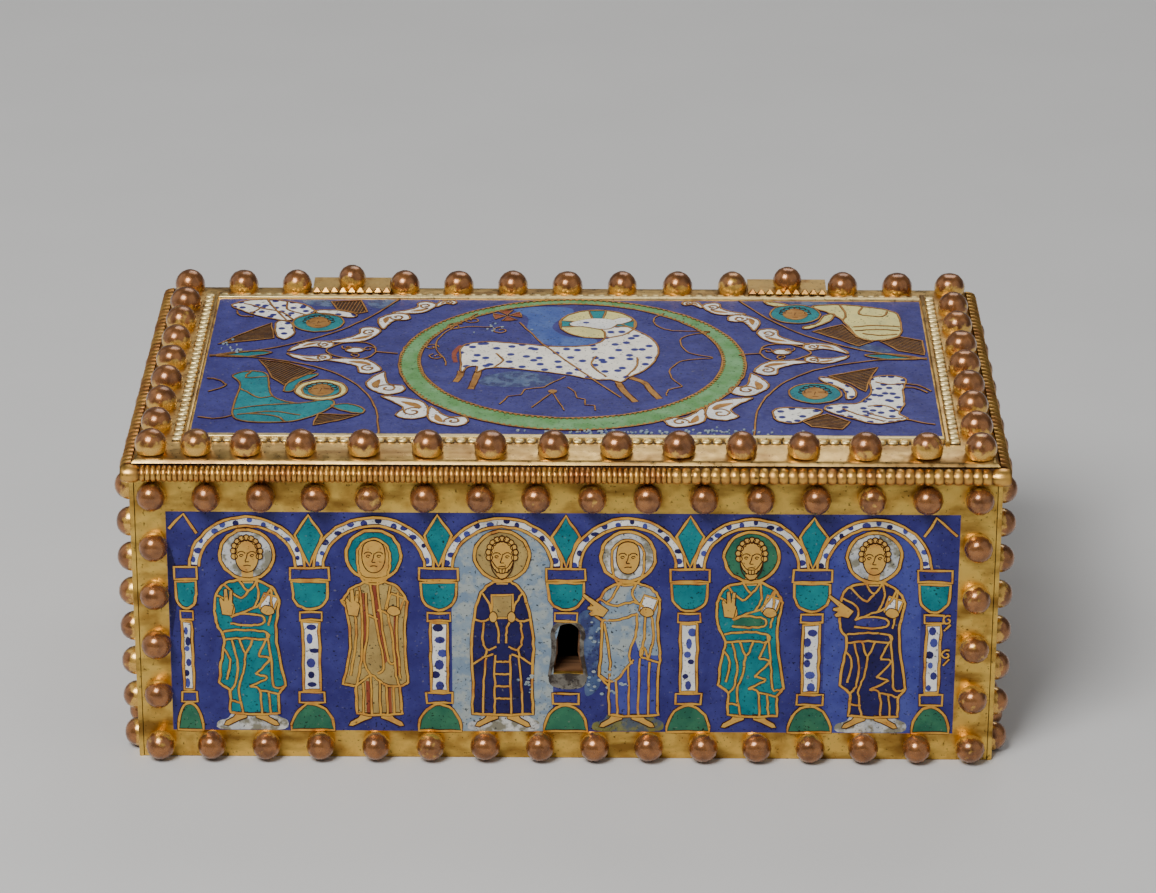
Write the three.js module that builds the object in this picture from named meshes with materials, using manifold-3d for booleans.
// Enamelled reliquary casket: a wooden box and lid board, sheathed in gilt copper plates held by
// round-headed nails, with a beaded roll round the lid and two strap hinges at the back.
// Millimetres, +Z up. The origin is the middle of the underside, and +Y points to the back.
import * as THREE from "three";
import { mergeVertices } from "three/addons/utils/BufferGeometryUtils.js";
import Module from "manifold-3d";

const wasm = await Module();
wasm.setup();

// Box: the front and back plates stand between the side plates, and all stand on the ground.
const FRONT_WIDTH = 223.6;
const BOX_DEPTH = 122;
const BOX_HEIGHT = 80;
const PLATE_THICKNESS = 1.5;
const SIDE_THICKNESS = 1.2;
const PLATE_FIT = 0.1;
const WALL = 8;
const FLOOR = 8;

// Lid: outer size over the rolls, and the heights of its layers.
const LID_WIDTH = 230;
const LID_DEPTH = 131;
const LID_GAP = 0.4;
const LID_UNDERSIDE = BOX_HEIGHT + LID_GAP;
const PANEL_WIDTH = 196.8;
const PANEL_DEPTH = 97.8;
const PANEL_TOP = 87.7;
const PANEL_THICKNESS = 1.6;
const PANEL_FIT = 0.15;
const BOARD_FIT = 0.2;

// Rolls round the lid's edge: half-round, flat against the board.
const ROLL_REACH = 3;
const ROLL_TOP = 84.9;
const ROLL_FIT = 0.15;
const ROLL_ARC_STEPS = 6;
const CORNER_BEAD_RADIUS = 2.6;
const CORNER_BEAD_SIDES = 10;
const CORNER_BEAD_RINGS = 6;

// Sheet border between the lid's panel and its rolls, by distance in from the board's edge: it
// rounds over the edge, runs flat under the nails, and ends in a raised bead strip and a rim.
const SHEET = 0.85;
const EDGE_Z = 85.3;
const SHOULDER = [1.3, 86.3];
const SHOULDER_TOP = [3, 86.95];
const BAND_START = [5.2, 87.25];
const BAND_Z = 87.3;
const BAND_WIDTH = 9.6;
const BEAD_STRIP_WIDTH = 2;
const BEAD_STRIP_Z = 87.9;
const RIM_Z = 88.1;
const STRIP_FIT = 0.15;

// Nails: a ball cut flat at its foot, which sits a little way into the sheet.
const NAIL_RADIUS = 3.65;
const NAIL_HEIGHT = 5.7;
const NAIL_FOOT_RADIUS = 3.1;
const NAIL_WAIST_AT = 0.35;
const NAIL_SHOULDER_AT = 0.79;
const NAIL_SHOULDER_RADIUS = 0.77;
const NAIL_SIDES = 6;
const NAIL_SINK = 0.5;

// Hand-set rows: even steps that wander a little.
const NAIL_WANDER = 0.7;
const WANDER_STEP = 12.9;
const WANDER_SEED_STEP = 4.7;
const FRONT_SEED = 1;
const BACK_SEED = 5;
const SIDE_SEED = 9;
const LID_ROW_SEED = 13;
const LID_COLUMN_SEED = 17;

// Nail rows: distance in from the edge of a sheet, and the number of nails in each run.
const FRONT_NAIL_INSET = 4.6;
const ROW_NAIL_INSET = 4.1;
const SIDE_NAIL_INSET = 6.4;
const LID_NAIL_INSET = 4.8;
const FRONT_ROW = 16;
const FRONT_COLUMN = 6;
const SIDE_ROW = 9;
const SIDE_COLUMN = 8;
const BACK_ROW = 12;
const BACK_COLUMN = 5;
const LID_ROW = 15;
const LID_COLUMN = 9;

// Keyhole: a round head over a flaring slot, through the front plate and the wall behind it.
const KEYHOLE_X = 0.6;
const KEYHOLE_TOP = 39.6;
const KEYHOLE_BOTTOM = 25;
const KEYHOLE_RADIUS = 3.4;
const KEYHOLE_WAIST = 3.1;
const KEYHOLE_FOOT = 4.2;
const KEYHOLE_WALL_SHRINK = 0.5;
const KEYHOLE_ARC_STEPS = 10;

// Hinges: straps over the lid's back border, leaves on the back plate, and pins.
const HINGE_X = 61.3;
const HINGE_WIDTH = 22;
const HINGE_AXIS_Y = 67.75;
const HINGE_AXIS_Z = 80.9;
const KNUCKLE_RADIUS = 1.9;
const BORE_RADIUS = 1.05;
const PIN_RADIUS = 0.85;
const PIN_END = 0.5;
const HINGE_SIDES = 12;
const HINGE_SHEET = 1.1;
const LEAF_KNUCKLE = 11;
const KNUCKLE_FIT = 0.4;
const LEAF_HEIGHT = 21;
const LEAF_DROP = 3.2;
const LEAF_FIT = 0.15;
const LEAF_ARM_ROOT = 2.4;
const LEAF_NAIL_RISE = 5;
const STRAP_FRONT_Y = 53;
const STRAP_KNEE_Y = 63.6;
const STRAP_KNEE_TRIM = 0.37;
const STRAP_KNEE_DROP = 1.35;
const STRAP_HIP_IN = 0.66;
const STRAP_HIP_OUT = 0.33;
const STRAP_HIP_DROP = 5;
const STRAP_TAIL_IN = 1.65;
const STRAP_TAIL_OUT = 0.55;
const STRAP_FIT = 0.15;
const STRAP_TEETH = 9;
const STRAP_TOOTH = 2;
const STRAP_TOOTH_OVERCUT = 0.1;

const ROUND = 2 * Math.PI;
const QUARTER = Math.PI / 2;
const CLEAR = 1;
const WELD = 1e-4;
const ABOVE_ALL = 2 * BOX_HEIGHT;

// Half sizes that several pieces share.
const frontX = FRONT_WIDTH / 2;
const sideX = frontX + PLATE_FIT;
const boxY = BOX_DEPTH / 2;
const woodY = boxY - PLATE_THICKNESS;
const edgeX = LID_WIDTH / 2 - ROLL_REACH;
const edgeY = LID_DEPTH / 2 - ROLL_REACH;
const panelX = PANEL_WIDTH / 2;
const panelY = PANEL_DEPTH / 2;
const panelBottom = PANEL_TOP - PANEL_THICKNESS;
const rollMiddle = (LID_UNDERSIDE + ROLL_TOP) / 2;
const rollHalf = (ROLL_TOP - LID_UNDERSIDE) / 2;

const material = (color, roughness, metalness) =>
  new THREE.MeshStandardMaterial({ color, roughness, metalness });
const OAK = material(0x4a2f1c, 0.8, 0);
const GILT = material(0xc39a4a, 0.35, 1);
const ENAMEL = material(0x2c3a8c, 0.3, 0.2);
const COPPER = material(0x8a5230, 0.4, 1);

// A closed three.js geometry as a manifold-3d solid, without the empty triangles at its poles.
function solidOf(geometry) {
  const bare = new THREE.BufferGeometry();
  bare.setAttribute("position", geometry.getAttribute("position"));
  bare.setIndex(geometry.getIndex());
  const merged = mergeVertices(bare, WELD);
  const corners = merged.index.array;
  const triangles = [];
  for (let i = 0; i < corners.length; i += 3) {
    const [a, b, c] = corners.slice(i, i + 3);
    if (a !== b && b !== c && c !== a) triangles.push(a, b, c);
  }
  return new wasm.Manifold(
    new wasm.Mesh({
      numProp: 3,
      vertProperties: merged.getAttribute("position").array,
      triVerts: new Uint32Array(triangles),
    }),
  );
}

// A manifold-3d solid as a flat-shaded three.js geometry.
function geometryOf(solid) {
  const mesh = solid.getMesh();
  const indexed = new THREE.BufferGeometry();
  indexed.setAttribute("position", new THREE.BufferAttribute(mesh.vertProperties, 3));
  indexed.setIndex(new THREE.BufferAttribute(mesh.triVerts, 1));
  const flat = indexed.toNonIndexed();
  flat.computeVertexNormals();
  return flat;
}

function block(x0, x1, y0, y1, z0, z1) {
  const geometry = new THREE.BoxGeometry(x1 - x0, y1 - y0, z1 - z0);
  return solidOf(geometry.translate((x0 + x1) / 2, (y0 + y1) / 2, (z0 + z1) / 2));
}

function extruded(points, depth, matrix) {
  const shape = new THREE.Shape(points.map(([u, v]) => new THREE.Vector2(u, v)));
  const geometry = new THREE.ExtrudeGeometry(shape, { depth, bevelEnabled: false });
  return solidOf(geometry.applyMatrix4(matrix));
}

// A section of (y, z) points, run from x0 to x1.
function alongX(points, x0, x1) {
  const turn = new THREE.Matrix4().set(0, 0, 1, x0, 1, 0, 0, 0, 0, 1, 0, 0, 0, 0, 0, 1);
  return extruded(points, x1 - x0, turn);
}

// A section of (x, z) points, run from y0 to y1.
function alongY(points, y0, y1) {
  const turn = new THREE.Matrix4().set(1, 0, 0, 0, 0, 0, -1, y1, 0, 1, 0, 0, 0, 0, 0, 1);
  return extruded(points, y1 - y0, turn);
}

// A section of (x, y) points, run from z0 to z1.
function alongZ(points, z0, z1) {
  return extruded(points, z1 - z0, new THREE.Matrix4().makeTranslation(0, 0, z0));
}

// A round bar along X on the hinge's axis.
function barOnAxis(radius, x0, x1) {
  const points = [];
  for (let i = 0; i < HINGE_SIDES; i++) {
    const angle = (ROUND * (i + 0.5)) / HINGE_SIDES;
    points.push([HINGE_AXIS_Y + radius * Math.cos(angle), HINGE_AXIS_Z + radius * Math.sin(angle)]);
  }
  return alongX(points, x0, x1);
}

// A nail with its foot at a point, and its head pointing along a direction.
function nailAt([x, y, z], [dx, dy, dz]) {
  const profile = [
    [0, -NAIL_SINK],
    [NAIL_FOOT_RADIUS, -NAIL_SINK],
    [NAIL_RADIUS, NAIL_HEIGHT * NAIL_WAIST_AT],
    [NAIL_RADIUS * NAIL_SHOULDER_RADIUS, NAIL_HEIGHT * NAIL_SHOULDER_AT],
    [0, NAIL_HEIGHT],
  ].map(([r, h]) => new THREE.Vector2(r, h));
  const head = new THREE.LatheGeometry(profile, NAIL_SIDES).rotateX(QUARTER);
  const aim = new THREE.Vector3(dx, dy, dz);
  const turn = new THREE.Quaternion().setFromUnitVectors(new THREE.Vector3(0, 0, 1), aim);
  return solidOf(head.applyQuaternion(turn).translate(x, y, z));
}

// Places of a hand-set row from one end to the other, with its ends exact.
function row(from, to, count, seed) {
  const places = [];
  for (let i = 0; i < count; i++) {
    const inner = i > 0 && i < count - 1;
    const wander = inner ? NAIL_WANDER * Math.sin(WANDER_STEP * i + WANDER_SEED_STEP * seed) : 0;
    places.push(from + ((to - from) * i) / (count - 1) + wander);
  }
  return places;
}

// Nail places round a standing plate of half width u, with each corner once.
function nailRing(u, across, up, seed) {
  const low = ROW_NAIL_INSET;
  const high = BOX_HEIGHT - ROW_NAIL_INSET;
  const places = [];
  for (const a of row(-u, u, across, seed)) places.push([a, low]);
  for (const a of row(-u, u, across, seed + 1)) places.push([a, high]);
  for (const v of row(low, high, up, seed + 2).slice(1, -1)) places.push([-u, v]);
  for (const v of row(low, high, up, seed + 3).slice(1, -1)) places.push([u, v]);
  return places;
}

const joined = (first, rest) => rest.reduce((whole, piece) => whole.add(piece), first);

// Keyhole cutter between two depths, narrowed all round by a shrink.
function keyhole(shrink, y0, y1) {
  const radius = KEYHOLE_RADIUS - shrink;
  const centre = KEYHOLE_TOP - KEYHOLE_RADIUS;
  const waistZ = (KEYHOLE_BOTTOM + centre) / 2;
  const points = [
    [KEYHOLE_X - KEYHOLE_FOOT + shrink, KEYHOLE_BOTTOM + shrink],
    [KEYHOLE_X + KEYHOLE_FOOT - shrink, KEYHOLE_BOTTOM + shrink],
    [KEYHOLE_X + KEYHOLE_WAIST - shrink, waistZ],
  ];
  for (let i = 0; i <= KEYHOLE_ARC_STEPS; i++) {
    const angle = (Math.PI * i) / KEYHOLE_ARC_STEPS;
    points.push([KEYHOLE_X + radius * Math.cos(angle), centre + radius * Math.sin(angle)]);
  }
  points.push([KEYHOLE_X - KEYHOLE_WAIST + shrink, waistZ]);
  return alongY(points, y0, y1);
}

// Wooden box: four walls and a floor, open at the top, with the keyhole through its front wall.
function woodenBox() {
  const inX = frontX - WALL;
  const inY = woodY - WALL;
  const whole = block(-frontX, frontX, -woodY, woodY, 0, BOX_HEIGHT);
  const inside = block(-inX, inX, -inY, inY, FLOOR, BOX_HEIGHT + CLEAR);
  return whole.subtract(inside).subtract(keyhole(KEYHOLE_WALL_SHRINK, -boxY, -inY + CLEAR));
}

function frontPlate() {
  const plate = block(-frontX, frontX, -boxY, -woodY, 0, BOX_HEIGHT);
  const ring = nailRing(frontX - FRONT_NAIL_INSET, FRONT_ROW, FRONT_COLUMN, FRONT_SEED);
  const nails = ring.map(([x, z]) => nailAt([x, -boxY, z], [0, -1, 0]));
  return joined(plate, nails).subtract(keyhole(0, -boxY - CLEAR, -woodY + CLEAR));
}

// The back plate leaves out the nails that would stand under the hinges' leaves.
function backPlate() {
  const plate = block(-frontX, frontX, woodY, boxY, 0, BOX_HEIGHT);
  const reach = HINGE_WIDTH / 2 + NAIL_RADIUS + CLEAR;
  const leafFoot = BOX_HEIGHT - LEAF_DROP - LEAF_HEIGHT - NAIL_RADIUS - CLEAR;
  const free = ([x, z]) => z < leafFoot || Math.abs(Math.abs(x) - HINGE_X) > reach;
  const ring = nailRing(frontX - FRONT_NAIL_INSET, BACK_ROW, BACK_COLUMN, BACK_SEED).filter(free);
  const nails = ring.map(([x, z]) => nailAt([x, boxY, z], [0, 1, 0]));
  return joined(plate, nails);
}

// A side plate laps over the ends of the front and back plates.
function sidePlate(side) {
  const inner = side * sideX;
  const outer = side * (sideX + SIDE_THICKNESS);
  const plate = block(Math.min(inner, outer), Math.max(inner, outer), -boxY, boxY, 0, BOX_HEIGHT);
  const ring = nailRing(boxY - SIDE_NAIL_INSET, SIDE_ROW, SIDE_COLUMN, SIDE_SEED + side);
  const nails = ring.map(([y, z]) => nailAt([outer, y, z], [side, 0, 0]));
  return joined(plate, nails);
}

// The border's rounded edge and flat band, and the bead strip and rim inside them.
const beadStart = BAND_WIDTH;
const rimStart = BAND_WIDTH + BEAD_STRIP_WIDTH;
const bandRise = [[0, EDGE_Z], SHOULDER, SHOULDER_TOP, BAND_START, [beadStart, BAND_Z]];
const borderRise = [
  ...bandRise,
  [beadStart, BEAD_STRIP_Z],
  [rimStart, BEAD_STRIP_Z],
  [rimStart, RIM_Z],
];

// A solid whose top rises from all four edges of the lid's board by the same steps, lowered by a
// drop, and stays flat inside them.
function hipped(rise, drop, bottom) {
  const section = (half) => [
    [-half, bottom],
    [half, bottom],
    ...rise.map(([inset, z]) => [half - inset, z - drop]),
    ...rise.map(([inset, z]) => [-half + inset, z - drop]).reverse(),
  ];
  return alongX(section(edgeY), -edgeX, edgeX).intersect(alongY(section(edgeX), -edgeY, edgeY));
}

// The board's shoulders follow the sheet, and its flat top carries the panel.
function lidBoard() {
  return hipped(bandRise, BAND_Z - panelBottom + BOARD_FIT, LID_UNDERSIDE);
}

function lidPanel() {
  return block(-panelX, panelX, -panelY, panelY, panelBottom, PANEL_TOP);
}

// The border's sheet all round, before it is cut into its four strips.
function borderFrame() {
  const x = panelX + PANEL_FIT;
  const y = panelY + PANEL_FIT;
  const over = hipped(borderRise, 0, LID_UNDERSIDE + CLEAR);
  const under = hipped(bandRise, SHEET, LID_UNDERSIDE);
  return over.subtract(under).subtract(block(-x, x, -y, y, 0, ABOVE_ALL));
}

const nailX = edgeX - LID_NAIL_INSET;
const nailY = edgeY - LID_NAIL_INSET;
const nailFoot = BAND_START[1];
const splitY = edgeY - BAND_WIDTH;

// Front or back strip, whose band owns the border's corners.
function longStrip(side, frame) {
  const span = (near) => [side * near, side * (edgeY + CLEAR)].sort((a, b) => a - b);
  const band = frame.intersect(block(-edgeX - CLEAR, edgeX + CLEAR, ...span(splitY), 0, ABOVE_ALL));
  const beads = frame.intersect(block(-panelX, panelX, ...span(panelY), 0, ABOVE_ALL));
  const strapped = (x) => side > 0 && Math.abs(Math.abs(x) - HINGE_X) < HINGE_WIDTH / 2;
  const places = row(-nailX, nailX, LID_ROW, LID_ROW_SEED + side).filter((x) => !strapped(x));
  const nails = places.map((x) => nailAt([x, side * nailY, nailFoot], [0, 0, 1]));
  return joined(band.add(beads), nails);
}

// Left or right strip, between the corners.
function shortStrip(side, frame) {
  const span = [panelX + STRIP_FIT, edgeX + CLEAR].map((x) => side * x).sort((a, b) => a - b);
  const inner = splitY - STRIP_FIT;
  const sheet = frame.intersect(block(...span, -inner, inner, 0, ABOVE_ALL));
  const places = row(-nailY, nailY, LID_COLUMN, LID_COLUMN_SEED + side).slice(1, -1);
  const nails = places.map((y) => nailAt([side * nailX, y, nailFoot], [0, 0, 1]));
  return joined(sheet, nails);
}

// Half-round section that stands out from a wall on one side of zero.
function rollSection(wall, side) {
  const reach = ROLL_REACH - ROLL_FIT;
  const points = [[side * wall, LID_UNDERSIDE]];
  for (let i = 1; i < ROLL_ARC_STEPS; i++) {
    const angle = (Math.PI * i) / ROLL_ARC_STEPS - QUARTER;
    points.push([side * (wall + reach * Math.cos(angle)), rollMiddle + rollHalf * Math.sin(angle)]);
  }
  points.push([side * wall, ROLL_TOP]);
  return points;
}

// Front or back roll over the lid's whole width, with a larger bead at each end.
function longRoll(side) {
  const reach = LID_WIDTH / 2 - CORNER_BEAD_RADIUS;
  const wall = edgeY + ROLL_FIT;
  const roll = alongX(rollSection(wall, side), -reach, reach);
  const depth = (ROLL_REACH - ROLL_FIT) / 2;
  const beads = [-reach, reach].map((x) => {
    const ball = new THREE.SphereGeometry(CORNER_BEAD_RADIUS, CORNER_BEAD_SIDES, CORNER_BEAD_RINGS);
    ball.rotateX(QUARTER).scale(1, depth / CORNER_BEAD_RADIUS, rollHalf / CORNER_BEAD_RADIUS);
    return solidOf(ball.translate(x, side * (wall + depth), rollMiddle));
  });
  return joined(roll, beads);
}

function shortRoll(side) {
  const reach = edgeY - ROLL_FIT;
  return alongY(rollSection(edgeX + ROLL_FIT, side), -reach, reach);
}

// Strap: it lies on the back band with a toothed front edge, bends over the roll and ends in two
// knuckles; its nail goes through it into the lid.
function strap(x) {
  const x0 = x - HINGE_WIDTH / 2;
  const x1 = x + HINGE_WIDTH / 2;
  const low = BAND_Z + STRAP_FIT;
  const top = low + HINGE_SHEET;
  const hipY = (STRAP_KNEE_Y + HINGE_AXIS_Y + BORE_RADIUS) / 2;
  const endY = HINGE_AXIS_Y + BORE_RADIUS;
  const endZ = HINGE_AXIS_Z + BORE_RADIUS;
  const section = [
    [STRAP_FRONT_Y, low],
    [STRAP_KNEE_Y - STRAP_KNEE_TRIM, low],
    [hipY - STRAP_HIP_IN, low - STRAP_KNEE_DROP],
    [endY - STRAP_TAIL_IN, top - STRAP_HIP_DROP],
    [endY - STRAP_TAIL_IN, endZ],
    [endY - STRAP_TAIL_OUT, endZ],
    [endY - STRAP_TAIL_OUT, top - STRAP_HIP_DROP],
    [hipY + STRAP_HIP_OUT, top - STRAP_KNEE_DROP],
    [STRAP_KNEE_Y, top],
    [STRAP_FRONT_Y, top],
  ];
  const gap = LEAF_KNUCKLE / 2 + KNUCKLE_FIT;
  const knuckles = [barOnAxis(KNUCKLE_RADIUS, x0, x - gap), barOnAxis(KNUCKLE_RADIUS, x + gap, x1)];
  const swing = KNUCKLE_RADIUS + KNUCKLE_FIT;
  const notch = block(
    x - gap,
    x + gap,
    HINGE_AXIS_Y - swing - CLEAR,
    HINGE_AXIS_Y + swing,
    HINGE_AXIS_Z - swing,
    HINGE_AXIS_Z + swing,
  );
  const pitch = HINGE_WIDTH / STRAP_TEETH;
  let cut = joined(alongX(section, x0, x1), knuckles).subtract(notch);
  for (let i = 0; i < STRAP_TEETH; i++) {
    const left = x0 + i * pitch;
    const tooth = [
      [left, STRAP_FRONT_Y - STRAP_TOOTH_OVERCUT],
      [left + pitch, STRAP_FRONT_Y - STRAP_TOOTH_OVERCUT],
      [left + pitch / 2, STRAP_FRONT_Y + STRAP_TOOTH],
    ];
    cut = cut.subtract(alongZ(tooth, 0, ABOVE_ALL));
  }
  const bored = cut.subtract(barOnAxis(BORE_RADIUS, x0 - CLEAR, x1 + CLEAR));
  return bored.add(nailAt([x, nailY, top], [0, 0, 1]));
}

// Leaf: nailed to the back plate, with an arm out to the middle knuckle.
function leaf(x) {
  const x0 = x - HINGE_WIDTH / 2;
  const x1 = x + HINGE_WIDTH / 2;
  const near = boxY + LEAF_FIT;
  const far = near + HINGE_SHEET;
  const top = BOX_HEIGHT - LEAF_DROP;
  const half = LEAF_KNUCKLE / 2;
  const arm = [
    [near, top - LEAF_ARM_ROOT],
    [far, top - LEAF_ARM_ROOT],
    [HINGE_AXIS_Y + BORE_RADIUS / 2, HINGE_AXIS_Z - KNUCKLE_RADIUS],
    [HINGE_AXIS_Y - BORE_RADIUS, HINGE_AXIS_Z - BORE_RADIUS],
    [far, top],
    [near, top],
  ];
  const plate = block(x0, x1, near, far, top - LEAF_HEIGHT, top);
  const reach = alongX(arm, x - half, x + half);
  const knuckle = barOnAxis(KNUCKLE_RADIUS, x - half, x + half);
  const bored = joined(plate, [reach, knuckle]).subtract(barOnAxis(BORE_RADIUS, x0, x1));
  const nailZ = top - LEAF_HEIGHT + LEAF_NAIL_RISE;
  const nails = [-1, 1].map((side) => nailAt([x + (side * HINGE_WIDTH) / 4, far, nailZ], [0, 1, 0]));
  return joined(bored, nails);
}

function pin(x) {
  const half = HINGE_WIDTH / 2 + PIN_END;
  return barOnAxis(PIN_RADIUS, x - half, x + half);
}

const casket = new THREE.Group();
const lid = new THREE.Group();
casket.add(lid);

function put(group, name, solid, look) {
  const mesh = new THREE.Mesh(geometryOf(solid), look);
  mesh.name = name;
  group.add(mesh);
}

const frame = borderFrame();
put(casket, "wooden_box", woodenBox(), OAK);
put(casket, "front_plate", frontPlate(), ENAMEL);
put(casket, "back_plate", backPlate(), ENAMEL);
put(casket, "left_plate", sidePlate(-1), ENAMEL);
put(casket, "right_plate", sidePlate(1), ENAMEL);
put(lid, "lid_board", lidBoard(), OAK);
put(lid, "lid_panel", lidPanel(), ENAMEL);
put(lid, "lid_border_front", longStrip(-1, frame), GILT);
put(lid, "lid_border_back", longStrip(1, frame), GILT);
put(lid, "lid_border_left", shortStrip(-1, frame), GILT);
put(lid, "lid_border_right", shortStrip(1, frame), GILT);
put(lid, "lid_roll_front", longRoll(-1), COPPER);
put(lid, "lid_roll_back", longRoll(1), COPPER);
put(lid, "lid_roll_left", shortRoll(-1), COPPER);
put(lid, "lid_roll_right", shortRoll(1), COPPER);
for (const [name, x] of [["left", -HINGE_X], ["right", HINGE_X]]) {
  put(lid, `hinge_strap_${name}`, strap(x), GILT);
  put(casket, `hinge_leaf_${name}`, leaf(x), GILT);
  put(casket, `hinge_pin_${name}`, pin(x), COPPER);
}

export default casket;
